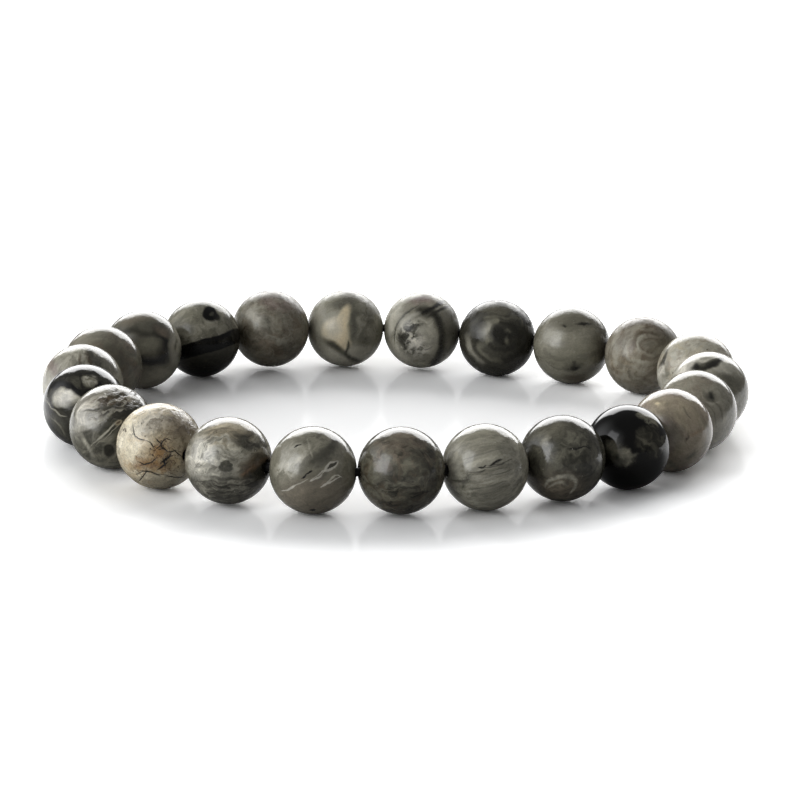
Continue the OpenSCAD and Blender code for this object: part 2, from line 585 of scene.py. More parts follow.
    def finish(self):
        """Adds the fine grain, joins the colour and turns the dents into a bump."""
        shade = self.ramp(self.grain(self.around, GRAIN_SCALE, 5)[0], 0.3, 0.7, GRAIN_DARK, GRAIN_LIGHT)
        for scale, share in ((VEIL_SCALE, 1), (FIBRE_SCALE, self.fine)):
            shade = self.times(shade, self.fibres(scale, share))
        height = self.times(self.grain(self.around, PORE_SCALE, 3)[0], self.relief)
        if self.height is not None:
            height = self.compute("ADD", height, self.height)
        bump = self.add("ShaderNodeBump", {
            "Height": height, "Strength": BUMP_STRENGTH, "Distance": BEAD_RADIUS * BUMP_HEIGHT})
        self.put(self.tree.nodes["Principled BSDF"], {
            "Base Color": self.scaled(self.colour, shade), "Normal": bump.outputs[0]})
        return self.material


def marker(paint):
    """A function that notes a mark, for the Stone method that paints it later."""
    return lambda *values, **options: (paint, values, options)


patch = marker(Stone.patch)
arc = marker(Stone.arc)
line = marker(Stone.line)
cloud = marker(Stone.cloud)
swirl = marker(Stone.swirl)
specks = marker(Stone.specks)
crackle = marker(Stone.crackle)

CHARTS = {}


def chart(number, slot, ground, marks, **finish):
    """Notes a stone: its material slot, which is not used, its ground, its marks from the lowest up, and
    its finish.
    """
    CHARTS[number] = (slot, ground, marks, finish)


chart(1, "charcoal", "ink", [
    cloud("charcoal", 1.6, 50, 10, turn=-30, stretch=1.6),
    cloud("slate", 3, 35, 12, 50, turn=-40, stretch=2.5),
    # Partly painted reflection: these pale patches are grey quartz and also stand for the left window
    # mirrored in the stone
    patch("ash", (-40, 20), (36, 28), 15, 16, 95),
    patch("chalk", (-42, 22), (28, 21), 15, 50, 80),
    patch("slate", (-18, 58), (16, 10), 20, 60, 80),
    line("black", [(-85, 42), (-60, 52), (-32, 46), (-8, 30), (10, 34), (34, 50)], 9, 50),
    line("ink", [(-6, 36), (-2, 56), (-8, 74)], 6, 60),
    patch("ash", (15, 62), (18, 14), -10, 25, 95),
    cloud("pale", 5, 50, 12, 80, (15, 62), (17, 13), wavy=0.4),
    line("fog", [(-95, 14), (-86, 6), (-78, -6), (-66, -14), (-58, -24), (-46, -27)], 1.8, 90, 60,
         wavy=0.3),
    line("slate", [(-80, -30), (-62, -45), (-45, -70)], 9, 90, 90),
    line("ash", [(-72, -36), (-56, -50), (-47, -66)], 2, 90, 90),
], flow=(-30, 2, 0.25), gloss=0.45, roughness=0.05, ripples=0.02)
chart(2, "grey", "ash", [
    cloud("grey", 1.8, 50, 14, 80, turn=50, stretch=2),
    patch("chalk", (-54, 22), (44, 32), 75, 60, 95),
    cloud("chalk", 2.6, 56, 10, 100, (-50, 22), (32, 30), 60, 1.5),
    patch("taupe", (10, 62), (74, 24), 14, 50),
    line("moss", [(-14, -6), (12, 12), (36, 24), (66, 26)], 22, 30, uneven=0.2, steps=1),
    patch("moss", (42, -22), (42, 50), -20, 40, 100),
    line("charcoal", [(2, 18), (20, 34), (42, 42), (66, 46)], 6, steps=1),
    patch("olive", (45, -50), (36, 22), 30),
    cloud("charcoal", 4.2, 54, 6, 80, (14, 54), (76, 28), 26, 3.2, dent=0.8),
    cloud("umber", 3.2, 46, 8, 75, (10, 52), (72, 26), 20, 3),
    cloud("pale", 4.8, 40, 6, 70, (-4, 50), (76, 30), 26, 3.6),
    line("slate", [(-50, 36), (-26, 40), (0, 46), (24, 44)], 3.5, dent=0.4, steps=1),
    line("fog", [(-66, 0), (-44, 6), (-24, 18), (-4, 30)], 4.5, 90, 80, steps=1),
    line("slate", [(-66, -12), (-42, -6), (-20, 8)], 5, 90, 90, steps=1),
    cloud("slate", 2.6, 50, 10, 100, (-45, -40), (40, 45), 75, 2.4),
    line("fog", [(-72, -20), (-60, -40), (-50, -60)], 4.5, 90, 70, steps=1),
    patch("grey", (-6, -58), (16, 19), 8, 20, 80, 0.5),
    patch("charcoal", (-6, -57), (14, 17), 8, 30, 100, 0.5),
    line("fog", [(-43, -40), (-32, -30), (-18, -14), (-4, 0), (10, 10)], 2, 70, 85, steps=1),
    line("grey", [(-28, -36), (-14, -24), (0, -8), (14, 4)], 1.4, 70, 90, steps=1),
    patch("sand", (14, 10), (10, 5), 38, 30, 80, 0.4),
    patch("umber", (14, 10), (6, 2.4), 38, 40, 90, 0.4),
], flow=(28, 3.4, 0.34), relief=0.2, waves=0.14, ripples=0.03)
chart(3, "cream", "cream", [
    patch("taupe", (66, 5), (50, 90), 10, 60, 60),
    patch("taupe", (30, 50), (40, 24), -20, 80, 60),
    # Partly painted light: the ivory patches are the stone's own cream-white and also brighten its left
    # side as if lit from there
    patch("ivory", (-60, 0), (46, 70), 12, 40, 100),
    patch("ivory", (-30, -25), (42, 36), -30, 50, 90),
    patch("chalk", (-25, 50), (40, 24), 30),
    cloud("umber", 3.6, 46, 12, 60, (30, 50), (60, 34), 30, 2),
    patch("fog", (20, -78), (70, 24), 5, 50, 60),
    cloud("tan", 2.4, 50, 10, 85, (-30, -30), (60, 50)),
    cloud("umber", 5, 40, 7, 50, wavy=2),
    cloud("ivory", 5, 38, 8, 80, (-30, -30), (70, 50), wavy=2),
    patch("tan", (-2, -20), (34, 28), 40, 70, 90),
    patch("brown", (0, -10), (24, 13), 60, 80, 30),
    patch("brown", (-22, -44), (34, 11), -10, 90),
    patch("ochre", (-2, -12), (17, 9), 60, 90, 80),
    patch("ochre", (-18, -40), (26, 7), -10, 90, 55),
    patch("ochre", (-40, -52), (14, 5), -30, 90, 60),
    patch("umber", (18, -34), (10, 22), 20, 90, 50),
    patch("umber", (8, -2), (10, 5), 40, 90, 60),
    crackle("umber", 4.6, 0.06, (12, -20), (38, 40), strength=75, wavy=2.6, dent=1.2),
    crackle("brown", 3.6, 0.045, (-30, -50), (44, 30), strength=80, wavy=2.6, dent=1),
    crackle("brown", 5, 0.03, strength=25, wavy=2.8, dent=0.5),
    *[line("ink", crack, 1.3, 60, wavy=0.12, uneven=1.2, steps=1) for crack in CRACKS],
    line("black", CRACKS[3], 2.6, 60, wavy=0.12, uneven=1.5, steps=1),
    patch("umber", (-86, 31), (4.5, 3), 60, 40, 95),
    specks("umber", 5, share=50, wavy=0.4, dent=0.8),
    specks("chalk", 9, 0.14, 20, (10, 30), (60, 50), strength=90),
], flow=(25, 1.4, 0.12), gloss=0.4, roughness=0.13, ripples=0.06, relief=0.9)
chart(4, "grey", "grey", [
    cloud("fog", 1.8, 55, 12, turn=20, stretch=1.8, wavy=1.2),
    cloud("slate", 2.4, 46, 10, 75, turn=25, stretch=2, wavy=1.2),
    patch("sand", (-5, 66), (55, 26), 8, 70, 60),
    cloud("sand", 3.2, 45, 10, 70, (-10, 60), (60, 30), 12, 2.2),
    patch("chalk", (-60, 5), (28, 46), 12, 50, 85),
    cloud("pale", 3.6, 50, 8, 80, (-30, 10), (50, 40), 30, 1.5, wavy=2),
    patch("pale", (-40, -34), (30, 14), -20, 60),
    line("fog", [(-20, 10), (10, 16), (36, 6), (60, 10)], 6, 90, 70),
    cloud("charcoal", 3, 44, 10, 80, (50, 42), (34, 30), -40, 2),
    patch("slate", (28, 53), (13, 12), 40, 70, 80),
    cloud("slate", 5, 40, 8, 70, (-40, 10), (50, 50), 40, 1.5, wavy=2),
    patch("umber", (64, -20), (40, 30), 28, 60, 95),
    patch("ink", (70, -36), (34, 18), 30, 70, 95),
    line("brown", [(36, -30), (56, -22), (74, -8), (86, 0)], 5, 90, 45),
    patch("slate", (0, -74), (80, 32), 5, 50),
    cloud("charcoal", 3.6, 50, 9, 85, (-5, -62), (80, 30), 5, 5, wavy=0.6),
    cloud("fog", 4.4, 42, 8, 70, (-10, -60), (70, 28), 5, 6, wavy=0.6),
    line("charcoal", [(-66, -48), (-20, -50), (30, -52)], 2.4, 90, 60, wavy=0.5),
    line("charcoal", [(-46, -68), (-10, -70), (30, -70)], 2, 90, 60, wavy=0.5),
    patch("slate", (-8, -18), (19, 10), 0, 18, 95, 0.5),
    patch("slate", (-3, -6), (10, 7), 0, 18, 95, 0.5),
    patch("slate", (-14, -9), (6, 6), 0, 18, 95, 0.5),
    patch("slate", (7, -10), (5, 5), 0, 18, 95, 0.5),
    specks("charcoal", 7, strength=80),
    specks("chalk", 8, 0.1, 12),
], flow=(12, 2, 0.34), waves=0.16)
chart(5, "grey", "grey", [
    cloud("ash", 1.8, turn=30, stretch=2),
    patch("taupe", (0, -65), (90, 50), 10, 50, 60),
    # Painted highlight: the fog and pale clouds at the left stand for the left window's soft highlight
    cloud("fog", 3, 60, 10, 100, (-42, 30), (36, 28), 40, 1.8),
    cloud("pale", 3.4, 50, 10, 70, (-60, 0), (26, 24), 30, 1.5),
    cloud("slate", 4, 42, 10, 70, (10, 50), (60, 40), 40, 2.5),
    line("slate", [(2, 20), (20, 34), (36, 46), (52, 68)], 13, 60, uneven=0.3),
    line("slate", [(10, 8), (24, 14), (40, 26)], 5, 90, 70),
    line("fog", [(-10, 62), (-6, 45), (-2, 34)], 3, 90, 50),
    line("ash", [(22, 78), (6, 62), (-2, 50)], 3, 90, 80),
    line("chalk", [(-3, -22), (4, -18), (12, -14), (20, -4), (27, 0)], 3.4, 40, 75, wavy=0.5, dent=-0.2,
         uneven=0.9),
    line("ash", [(2, -18), (12, -12), (20, -5)], 1, 60),
    patch("chalk", (40, 9), (18, 7.8), 32, 16, 70, 0.8),
    patch("slate", (42, 10.5), (12, 3.4), 32, 25, 100, 0.8),
    line("chalk", [(20, -38), (28, -32), (38, -26), (50, -20), (60, -15)], 1.6, 40, 75, wavy=0.5,
         uneven=1.2),
    line("pale", [(28, -30), (36, -22), (46, -14), (55, -12), (62, -16)], 1.6, 40, 90, wavy=0.5,
         uneven=1.2),
    line("chalk", [(-68, -47), (-56, -45), (-44, -38), (-36, -34)], 2.4, 40, 85, wavy=0.3, uneven=0.8),
    line("pale", [(-40, -36), (-28, -30), (-14, -22)], 1.4, 40, 70, wavy=0.3),
    line("black", [(-26, -19), (-19, -15), (-16, -10)], 2.4, 40, uneven=1),
    line("black", [(-13, -8), (-5, -2)], 2, 40),
    line("ink", [(-42, 51), (-36, 54), (-28, 56)], 1.4, 40, uneven=1),
    patch("ink", (2, -88), (7, 2.5), 0, 50, 100),
], flow=(32, 2.6, 0.16), waves=0.06)
chart(6, "olive", "olive", [
    cloud("ash", 2, 45, 16, 80, turn=-10, stretch=1.5),
    patch("taupe", (0, 65), (50, 30), 0, 60, 75),
    cloud("charcoal", 2.6, 45, 10, 80, turn=10, stretch=1.6),
    patch("charcoal", (65, 0), (35, 60), 10, 60, 50),
    patch("charcoal", (0, -80), (60, 30), 0, 60, 55),
    cloud("umber", 4, 42, 12, 60),
    cloud("taupe", 4, 42, 9, 70, (0, 40), (70, 50)),
    cloud("ink", 4, 38, 8, 85, (10, -45), (80, 40), 5, 2),
    cloud("sage", 5, 38, 12, 40, turn=-20, stretch=2),
    specks("pale", 12, share=10, strength=60),
], fine=0.6, flow=(0, 1.7, 0.3))
chart(7, "grey", "grey", [
    cloud("sage", 1.6, 50, 16, 80, turn=15, stretch=3),
    cloud("ash", 3, 42, 12, 70, turn=17, stretch=9),
    cloud("fog", 3.6, 46, 12, 60, turn=17, stretch=10),
    cloud("slate", 5, 36, 10, 80, (0, -20), (90, 50), 15, 9),
    cloud("pale", 6, 38, 9, 50, (10, -30), (80, 60), 14, 12),
    patch("fog", (0, -66), (80, 34), 15, 70, 60),
    patch("fog", (78, -10), (30, 60)),
    # Painted highlight: the pale patch on the left stands for the left window's highlight
    patch("pale", (-78, 5), (24, 50)),
    cloud("slate", 4, 42, 8, 60, (0, -50), (90, 50), 16, 9, wavy=0.8),
    line("black", [(-12, 0), (-4, -1), (2, 3)], 1.8, 80, wavy=0.8, uneven=1),
    line("black", [(14, 6), (24, 12), (34, 17)], 1.8, 80, wavy=0.8, uneven=1),
    line("ink", [(-32, -12), (-10, -10), (0, -6)], 1.2, 90, 80),
    line("ink", [(0, -1), (20, 2), (40, 8)], 1.2, 90, 80),
    line("charcoal", [(10, 4), (34, 8), (56, 17)], 1.2, 90, 70),
    line("slate", [(-70, -30), (-54, -33), (-40, -30)], 3, 90, 80),
    line("charcoal", [(10, -18), (34, -14), (56, -6)], 1.2, 90, 50),
    line("slate", [(-30, -50), (0, -46), (30, -36)], 2, 90, 60),
    line("slate", [(-40, 20), (0, 32), (30, 40)], 2, 90, 50),
], flow=(17, 8, 0.26), waves=0.05, ripples=0.02)
chart(8, "olive", "slate", [
    cloud("moss", 2, 45, 14, 80, turn=10, stretch=1.6),
    cloud("ash", 2.4, 45, 14, 80, (10, 10), (80, 60), 10, 2.2, wavy=2),
    patch("olive", (-10, 70), (50, 20), 10, 60, 80),
    cloud("ink", 3.2, 42, 12, 80, (50, 0), (50, 40), 12, 3, wavy=2.4),
    line("ink", [(10, 20), (24, 22), (40, 27), (60, 20)], 3, wavy=1),
    line("charcoal", [(0, -10), (20, -25), (45, -28), (70, -16)], 5, wavy=1),
    # Partly painted highlight: this small pale swirl at the upper left also stands for the window's
    # highlight
    patch("fog", (-36, 34), (16, 7), 65, 70, 50),
    patch("taupe", (-10, -62), (60, 32), 0, 60, 60),
    line("fog", [(-40, -62), (-34, -50), (-20, -43), (0, -40), (18, -42), (30, -50), (31, -62), (22, -76)],
         4.2, 80, 85, wavy=0.3, uneven=0.4),
    line("fog", [(-30, -64), (-18, -55), (-2, -53), (10, -58)], 2.6, 80, 55, wavy=0.3),
    specks("chalk", 9, 0.1, 20, (10, -5), (60, 40)),
    patch("ash", (78, -10), (8, 30), 0, 60, 50),
], flow=(10, 2.2, 0.3), waves=0.16)
chart(9, "black", "black", [
    cloud("ink", 1.6, 40, 20, 20),
    cloud("charcoal", 2.4, 56, 10, 70, (60, 12), (36, 36), 20, 1.4),
    cloud("olive", 3.4, 44, 10, 80, (60, 12), (34, 30), -30, 1.6),
    cloud("ash", 4, 45, 12, 90, (45, 66), (34, 12), -45, 2),
    patch("charcoal", (-28, -8), (34, 20), -35, 60, 90),
    line("ash", [(-36, 8), (-26, -6), (-12, -14), (4, -16)], 11, 90, 80, wavy=1.4),
    patch("grey", (-6, -18), (13, 12), 30, 80, 70, 1.2),
    line("slate", [(-34, -28), (-20, -36), (-4, -30)], 5, 90, 80),
], flow=(0, 1, 0.15), gloss=0.28, roughness=0.04, ripples=0.05, relief=0.06)
chart(10, "taupe", "grey", [
    cloud("taupe", 1.6, 50, 18, 90),
    cloud("rose", 2.4, 55, 14, 85, turn=-50, stretch=1.5),
    cloud("sand", 2.6, 40, 14, 50, turn=-50, stretch=2),
    cloud("olive", 3.4, 34, 12, 50, turn=-48, stretch=4),
    patch("sand", (62, -10), (40, 70), -20, 70, 50),
    patch("sand", (0, 60), (70, 30), 0, 70, 50),
    patch("umber", (40, -19), (7, 4.5), 60, 90, 90, 1.4),
    patch("slate", (43, -10), (3, 8), 10, 90, 60),
    patch("brown", (60, -5), (16, 5), 20, 90, 40),
    patch("slate", (50, -60), (16, 7), 30, 80),
    line("slate", [(30, 50), (36, 40), (44, 30)], 2, 90, 50),
    line("taupe", [(0, 30), (20, 0), (36, -30)], 3, 90, 60),
    patch("cream", (-30, 63), (5.5, 3.5), 20, 60, 80),
    patch("sand", (-18, 68), (3.5, 2.5), 0, 60),
], flow=(-48, 2.4, 0.15), waves=0.08)
chart(11, "taupe", "grey", [
    cloud("taupe", 1.6, 50, 16, 80),
    cloud("fog", 2.6, 42, 14, 60, turn=-55, stretch=3),
    cloud("ash", 4, 36, 12, 60, turn=-60, stretch=4),
    patch("fog", (50, -20), (40, 60), 0, 70, 60),
    patch("pale", (20, -70), (90, 40), 0, 70, 60),
    patch("slate", (42, 30), (13, 10), -50, 60, 80),
    patch("ink", (42, 34), (8, 4.5), -55, 80, 85, 0.8),
    line("pale", [(30, 20), (40, 16), (52, 20)], 2.5, 90, 70),
    line("slate", [(46, 20), (58, 6), (62, -14)], 3, 95, 60),
    line("ash", [(30, 12), (44, -6), (48, -30)], 2, 90, 70),
], flow=(-55, 2.2, 0.16))
chart(12, "pale", "fog", [
    cloud("pale", 1.8),
    cloud("ash", 2.6, 42, 14, 70, turn=-40, stretch=1.8),
    patch("ash", (62, 15), (48, 42), -30, 60, 80),
    patch("chalk", (30, -60), (80, 36), -20),
    patch("slate", (50, 35), (40, 16), -40, 70, 60),
    # Partly painted reflection: the chalk patch at the upper left is pale stone and also stands for the
    # left window mirrored there
    patch("chalk", (-50, 52), (26, 34), -30, 70, 90),
    patch("pale", (34, 60), (20, 13), -30, 70, 80),
    line("slate", [(-34, 60), (-16, 66), (4, 70), (30, 80)], 10, 80, uneven=0.3),
    line("charcoal", [(-24, 62), (-10, 60), (6, 68), (26, 78)], 6.5, 70),
    patch("ink", (-26, 64), (10, 6), 70, 70, 90, 0.6),
    patch("ink", (10, 69), (18, 6), 24, 80, 90, 0.6),
    line("pale", [(-20, 78), (-6, 78), (10, 84)], 3, 70, 80),
], flow=(-40, 2, 0.16))
chart(13, "pale", "pale", [
    cloud("fog", 1.8, 55),
    cloud("sand", 3, 40, 14, 60),
    patch("charcoal", (-82, 32), (30, 7), 72, 50, 90),
    patch("slate", (-72, 10), (30, 6), 80, 70, 60),
    patch("chalk", (-88, 0), (20, 8), 75, 50, 80),
    specks("umber", 4.5, share=40, strength=80),
    cloud("taupe", 5, 35, 9, 50),
], flow=(0, 1.2, 0.13), roughness=0.16)
chart(14, "taupe", "taupe", [
    cloud("grey", 1.6, 50, 18, 80),
    patch("sand", (-45, -10), (32, 30), 20, 70, 60),
    swirl("umber", (15, 28), (95, 95), 20, 45, 50, 45, 1.5, 0.85, 20, (10, 10)),
    swirl("fog", (17, 30), (75, 70), 27, 45, 50, 50, 1.8, 0.85, 20, (-30, 5)),
    cloud("fog", 3.4, 46, 10, 55, (-45, 0), (45, 60), 70, 2.2),
    arc("umber", (15, 28), (36, 34), 120, 70, 3),
    arc("fog", (15, 28), (30, 28), 170, 60, 2.5),
    arc("umber", (15, 28), (50, 46), 60, 50, 3),
    arc("fog", (15, 28), (62, 56), 190, 40, 3),
    cloud("umber", 4, 42, 10, 50, turn=60, stretch=2.4),
    patch("olive", (45, 25), (40, 45), 20, 70, 60),
], fine=0.4, flow=(35, 2, 0.14), gloss=0.35, roughness=0.28, waves=0.12)
chart(15, "grey", "grey", [
    cloud("olive", 2, 55, 14, 80, turn=3, stretch=4),
    cloud("sage", 3, 45, 10, 50, turn=3, stretch=8),
    # Painted highlight: the fog patch on the left stands for the left window's highlight
    patch("fog", (-55, 15), (30, 30)),
    patch("charcoal", (85, -10), (25, 60)),
    patch("ink", (32, 56), (20, 3.5), 4, 70, 95),
    patch("ink", (-20, 52), (6, 3.5), -25, 70, 80),
    patch("charcoal", (8, -57), (19, 9), 8, 90, 80),
    patch("ink", (8, -58), (12, 5), 8, 80, 95),
    patch("charcoal", (6, -46), (5, 6)),
    patch("umber", (10, -85), (30, 12), 0, 60, 60),
], fine=0.4, flow=(3, 6, 0.2), gloss=0.4, roughness=0.18, waves=0.06)
chart(16, "charcoal", "charcoal", [
    swirl("slate", (10, 0), (90, 90), 24, 50, 50, 60, 1, 0.9, 10),
    patch("ink", (15, -2), (32, 32), 0, 70, 85),
    patch("ink", (70, -10), (30, 50), 0, 70, 80),
    # Partly painted reflection: these pale arcs facing left are bands of the swirl and also stand for the
    # left window mirrored in the stone
    arc("ash", (12, 0), (44, 44), 150, 55, 10, 95, 85, 1.2),
    arc("fog", (12, 4), (42, 40), 160, 30, 4, 95, 60, 1.2),
    arc("fog", (12, 5), (90, 82), 208, 30, 6, 95),
    arc("ash", (12, 5), (66, 62), 230, 40, 5, 95, 60, 1),
    patch("olive", (0, 78), (50, 12)),
    arc("ash", (10, 0), (60, 62), 80, 50, 4, 95, 50, 1.2),
    patch("ash", (27, -10), (5, 10), 0, 90, 60),
    patch("ash", (30, 16), (5, 5), 0, 90, 40),
], fine=0.4, flow=(0, 1.5, 0.2), gloss=0.35, roughness=0.26, waves=0.14)
chart(17, "grey", "grey", [
    cloud("fog", 1.8),
    patch("pale", (-22, -30), (50, 42), 30, 50, 95),
    patch("rose", (0, 76), (27, 10), 0, 70, 90),
    patch("slate", (82, -5), (26, 60), 0, 70, 50),
    cloud("slate", 4.2, 50, 7, 100, (-20, -20), (50, 50), wavy=0.5),
    cloud("chalk", 4.6, 42, 8, 80, (-10, -35), (40, 36), wavy=0.5),
    cloud("ink", 5, 42, 8, 90, (-30, -15), (46, 36), wavy=0.5),
    patch("charcoal", (-52, -20), (9, 13), 30, 80, 95),
    patch("charcoal", (-16, 3), (14, 5), 35, 80),
    cloud("charcoal", 5.5, 42, 9, 75, (6, -30), (30, 34), wavy=0.5),
    patch("pale", (6, -4), (16, 10), 35, 80, 60),
    patch("ink", (-17, -47), (5, 4.5), 0, 70, 95),
    patch("charcoal", (-42, -44), (9, 5), 20, 80, 80),
    patch("chalk", (-10, -33), (16, 12), 30, 70, 80),
    patch("fog", (22, -20), (20, 28), 0, 60, 80),
    arc("slate", (-5, -25), (60, 80), 0, 62, 11, 70, 90, 0.5),
    arc("charcoal", (-5, -25), (59, 80), 0, 62, 5.5, 90, 100, 0.5),
    patch("charcoal", (6, 46), (24, 15), -15, 60, 95),
    line("ink", [(6, 46), (24, 54), (42, 66), (56, 76)], 6, 80, uneven=0.3),
    line("charcoal", [(22, 36), (40, 46), (54, 56), (68, 62)], 5, 80, uneven=0.3),
    line("slate", [(-72, -26), (-68, 10), (-46, 42), (-16, 60)], 2.4),
    # Painted reflection: these pale strokes on the left stand for the left window mirrored in the stone
    line("pale", [(-84, 0), (-78, 30), (-56, 58)], 7, 90, 80),
    line("pale", [(-56, 10), (-40, 30), (-16, 40)], 6, 90, 60),
], fine=0.4, flow=(20, 1.3, 0.2), gloss=0.35, roughness=0.28, ripples=0.02)
chart(18, "pale", "grey", [
    cloud("sage", 1.8),
    patch("pale", (10, -80), (80, 36), 5, 50),
    patch("fog", (-75, 10), (26, 60), 5, 60, 80),
    patch("slate", (-5, 70), (36, 16), 12, 60),
    patch("cream", (-25, -8), (38, 34), 60, 25, 85, 0.4),
    patch("cream", (-14, -34), (26, 28), 40, 30, 85, 0.4),
    patch("cream", (-6, 26), (36, 15), 68, 30, 95, 0.4),
    # Partly painted sheen: this pale patch is paler stone in the wedge and also a painted sheen on its left
    # part
    patch("pale", (-34, -4), (34, 18), 75, 80),
    patch("ash", (52, 12), (46, 60), 8, 18, 95, 0.5),
    patch("slate", (48, 8), (42, 46), 8, 25, 50, 0.5),
    cloud("fog", 2.4, 45, 12, 50, (50, 12), (40, 50)),
    patch("slate", (17, 16), (9, 42), 4, 70, 90),
    patch("fog", (45, -62), (28, 13), 8, 50),
    patch("slate", (-30, -48), (34, 9), -34, 90, 90, 0.5),
    patch("moss", (-26, -51), (26, 7.5), -36, 90, 90, 0.5),
    line("slate", [(0, -66), (14, -80), (34, -86)], 6, wavy=0.2),
    line("slate", [(8, -36), (8, -50), (2, -64)], 4.5, wavy=0.2),
], fine=0.4, flow=(80, 2, 0.12), gloss=0.35, roughness=0.28, ripples=0.02)
chart(19, "taupe", "taupe", [
    cloud("ash", 2),
    cloud("fog", 2.2, 50, 10, 80, (10, 10), (55, 50), wavy=2),
    patch("rose", (15, 66), (42, 20), -15, 60, 80),
    cloud("slate", 3, 44, 12, 55),
    patch("pale", (-45, 35), (16, 20), 20),
    patch("slate", (-10, 10), (12, 22), 10, 80, 60),
    patch("umber", (5, -60), (20, 14)),
    patch("umber", (-70, -20), (20, 35), 0, 70, 60),
    cloud("umber", 4, 42, 14, 40, wavy=2),
    cloud("fog", 3.6, 40, 14, 40),
], fine=0.4, flow=(0, 1.2, 0.2), gloss=0.35, roughness=0.28)
chart(20, "charcoal", "ash", [
    cloud("slate", 2.2, 50, 16, 70),
    cloud("fog", 4, 42, 14, 50),
    specks("pale", 8, share=25, strength=60),
    patch("slate", (5, -80), (140, 72), 14, 6, 100, 0.6),
    patch("ink", (10, -110), (120, 72), 10, 60, 100),
    patch("black", (20, -18), (150, 19), 16, 12, 100, 0.5),
    patch("black", (80, 6), (40, 16), 22, 20, 100, 0.6),
    patch("black", (20, 64), (20, 17), -20, 20, 100),
    patch("ink", (36, 56), (10, 6), -30, 40, 90),
    patch("slate", (24, 64), (5, 4), 0, 60, 60),
    patch("slate", (-40, 22), (25, 10), 10, 60, 60),
], fine=0.4, flow=(10, 1.5, 0.16), gloss=0.28, waves=0.06, ripples=0.02, roughness=0.13)
chart(21, "olive", "ash", [
    cloud("olive", 1.8),
    patch("taupe", (-10, 78), (50, 14), 12, 60),
    patch("fog", (10, -78), (90, 40), 10, 60, 90),
    patch("slate", (-30, 30), (80, 45), 10, 60, 90),
    patch("olive", (0, 5), (60, 42), 10, 40, 95),
    patch("sage", (15, 12), (40, 20), 25),
    patch("charcoal", (-10, 45), (55, 7), -8, 90, 80),
    arc("charcoal", (8, 14), (56, 46), -28, 92, 16, 80, 80, 0.6),
    arc("ink", (8, 14), (56, 46), -28, 80, 7, 90, 100, 0.6),
    patch("taupe", (50, 48), (16, 9), -30, 80, 80),
    patch("fog", (86, 6), (15, 66), 5, 60, 90),
    patch("slate", (86, 16), (3, 16), 5, 80, 80),
], fine=0.4, flow=(20, 2.2, 0.16), gloss=0.45, roughness=0.14, ripples=0.02)
chart(22, "taupe", "ash", [
    cloud("taupe", 1.6, 50, 12, 90),
    patch("moss", (30, 30), (50, 20), -35, 80, 60),
    cloud("slate", 2.2, 42, 14, 60, turn=30, stretch=2.5),
    patch("grey", (-30, 70), (50, 14), 15, 60, 60),
], fine=0.6, flow=(20, 2.2, 0.16))
chart(23, "pale", "fog", [
    cloud("grey", 1.8, 50, 14, 80),
    cloud("slate", 3, 45, 10, 100, (10, 55), (60, 40), 80, 3),
    patch("rose", (-78, 40), (16, 26), 20, 50),
    patch("pale", (-85, 10), (14, 30), 15, 50, 80),
    patch("slate", (45, 50), (30, 20), -30, 60),
    patch("umber", (12, 66), (7, 16), 10, 60, 60),
    patch("umber", (-8, 60), (4, 16), 0, 60, 60),
], flow=(80, 2.2, 0.24))


def make_beads():
    up = camera_axes()[1]
    for number in range(1, BEAD_COUNT + 1):
        middle = bead_middle(number)
        toward = (CAMERA_PLACE - middle).normalized()
        level = (up - up.dot(toward) * toward).normalized()
        matrix = axes_matrix(level.cross(toward), level, toward, middle)
        mesh = bead_mesh(number, matrix)
        piece = link_piece(bead_name(number) + "_stone", mesh)
        piece.matrix_world = matrix
        slot, ground, marks, finish = CHARTS[number]
        stone = Stone(number, ground, **finish)
        for paint, values, options in marks:
            paint(stone, *values, **options)
        mesh.materials.append(stone.finish())
        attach(piece, "root")
        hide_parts(bead_name(number))


def cord_stations():
    """Places along the cord with the direction and the radius there."""
    middles = [bead_middle(number) for number in range(1, BEAD_COUNT + 1)]
    stations = []
    for i, (here, heading) in enumerate(zip(middles, HEADINGS)):
        there = middles[(i + 1) % BEAD_COUNT]
        way = level_way(heading)
        if i + 1 == KNOT_BEAD:
            for k in range(KNOT_STEPS + 1):
                share = k / KNOT_STEPS - 0.5
                bulge = math.cos(math.pi * share) ** 0.5 if k % KNOT_STEPS else 0
                radius = CORD_RADIUS + (KNOT_RADIUS - CORD_RADIUS) * bulge
                stations.append((here + way * share * KNOT_LENGTH, way, radius))
        turn = math.radians(TURNS[i])
        step = there - here
        side = Vector((step.y, -step.x, 0)).normalized()
        corner = (here + there) / 2 + side * (step.length / 2 * math.tan(turn / 2))
        before = corner + (here - corner).normalized() * BEND_REACH
        after = corner + (there - corner).normalized() * BEND_REACH
        for k in range(BEND_STEPS + 1):
            share = k / BEND_STEPS
            place = curve(before, corner, after, share)
            stations.append((place, level_way(heading + turn * share), CORD_RADIUS))
    return stations


def cord_material():
    """Black stretch cord, dull, with a fine grain."""
    material = new_material("elastic")
    nodes = Nodes(material.node_tree)
    grain = nodes.grain(nodes.add("ShaderNodeTexCoord").outputs["Object"], CORD_GRAIN, 3)[0]
    nodes.put(nodes.tree.nodes["Principled BSDF"], {
        "Base Color": nodes.mix(grain, CORD_DARK, CORD_LIGHT),
        "Roughness": CORD_DULLNESS, "Specular IOR Level": CORD_GLOSS})
    return material


def make_cord():
    up = Vector((0, 0, 1))
    mesh = tube_mesh("cord", [circle(place, way.cross(up), up, radius, CORD_SIDES)
                              for place, way, radius in cord_stations()])
    cord = link_piece("stretch_cord", mesh)
    mesh.materials.append(cord_material())
    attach(cord, "root")
    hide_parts("elastic_cord")


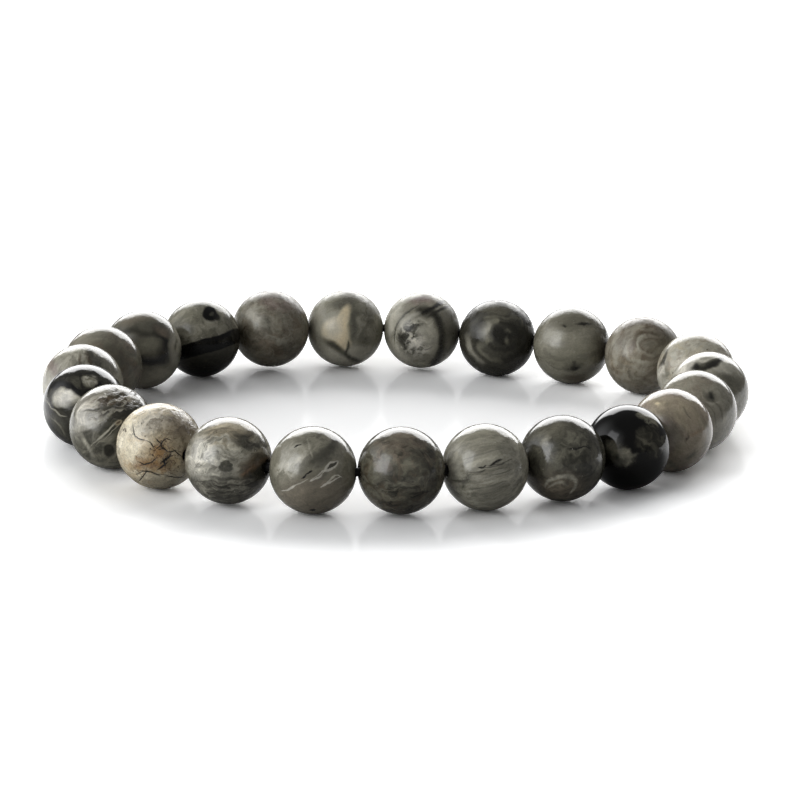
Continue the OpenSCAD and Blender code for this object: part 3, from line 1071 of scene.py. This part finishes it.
def make_floor():
    """The white table. The eye sees it painted darker inside an oval round the bracelet, where its shadows
    lie, and overexposed outside it, and the stones see it darker, but for what they mirror of it beside and
    behind the ring, which makes their rims bright."""
    half = FLOOR_HALF
    mesh = bpy.data.meshes.new("floor")
    mesh.from_pydata([(-half, -half, 0), (half, -half, 0), (half, half, 0), (-half, half, 0)], [],
                     [(0, 1, 2, 3)])
    material = new_material("white_table")
    nodes = Nodes(material.node_tree)
    nodes.tree.nodes.clear()
    path = nodes.add("ShaderNodeLightPath").outputs
    place = nodes.add("ShaderNodeNewGeometry").outputs["Position"]
    away = nodes.length(nodes.combine("MULTIPLY_ADD", place, (FLOOR_SQUEEZE, 1, 1), (FLOOR_SHIFT, 0, 0)))
    # Painted shade: to the eye the table is darker inside the oval round the bracelet, where its shadows
    # lie
    seen = nodes.ramp(away, FLOOR_INSIDE, FLOOR_OUTSIDE, FLOOR_GAIN, FLOOR_RIM_GAIN)
    outside = nodes.times(path["Is Glossy Ray"], nodes.ramp(away, MIRROR_INSIDE, MIRROR_OUTSIDE))
    mirrored = nodes.times(outside, nodes.ramp(nodes.split(place)["Y"], MIRROR_FRONT, MIRROR_BACK))
    bounced = nodes.add("ShaderNodeMapRange", {
        "Value": mirrored, "To Min": FLOOR_BOUNCE, "To Max": FLOOR_MIRROR}).outputs[0]
    colour = nodes.mix(path["Is Camera Ray"], bounced, seen)
    matt = nodes.add("ShaderNodeBsdfDiffuse", {"Color": colour}).outputs[0]
    shine = nodes.add("ShaderNodeBsdfGlossy", {"Roughness": FLOOR_DULLNESS}).outputs[0]
    both = nodes.add("ShaderNodeMixShader", {0: FLOOR_SHINE, 1: matt, 2: shine}).outputs[0]
    nodes.add("ShaderNodeOutputMaterial", {"Surface": both})
    mesh.materials.append(material)
    link_piece("floor", mesh)


def make_world():
    world = bpy.data.worlds.new("studio")
    bpy.context.scene.world = world
    world.use_nodes = True
    nodes = Nodes(world.node_tree)
    nodes.tree.nodes.clear()
    way = nodes.split(nodes.add("ShaderNodeTexCoord").outputs["Generated"])
    azimuth = nodes.compute("ARCTAN2", way["X"], way["Y"])
    height = nodes.compute("ARCSINE", way["Z"])

    def between(angle, first, last, soft):
        rising = nodes.ramp(angle, math.radians(first - soft), math.radians(first + soft))
        falling = nodes.ramp(angle, math.radians(last - soft), math.radians(last + soft), 1, 0)
        return nodes.times(rising, falling)

    def box(sides):
        wide = between(azimuth, *sides["azimuth"], sides["soft"])
        tall = between(height, *sides["height"], sides["soft"])
        return nodes.times(nodes.times(wide, tall), sides["light"])

    def colour(red, green, blue):
        return nodes.add("ShaderNodeCombineColor", {0: red, 1: green, 2: blue}).outputs[0]

    panel = box(BACK_PANEL)
    left = nodes.compute("ADD", box(LEFT_WINDOW), box(LEFT_FILL))
    cool = colour(nodes.times(left, LEFT_RED), nodes.times(left, LEFT_GREEN), left)
    both = nodes.combine("ADD", colour(panel, panel, panel), cool)
    lit = nodes.combine("ADD", both, (AMBIENT,) * 3)
    # The eye sees plain white behind the bracelet
    seen = nodes.mix(nodes.add("ShaderNodeLightPath").outputs["Is Camera Ray"], lit, (1, 1, 1, 1))
    background = nodes.add("ShaderNodeBackground", {0: seen}).outputs[0]
    nodes.add("ShaderNodeOutputWorld", {0: background})


make_camera()
make_floor()
make_world()
make_beads()
make_cord()
bpy.context.scene.view_settings.view_transform = "Standard"
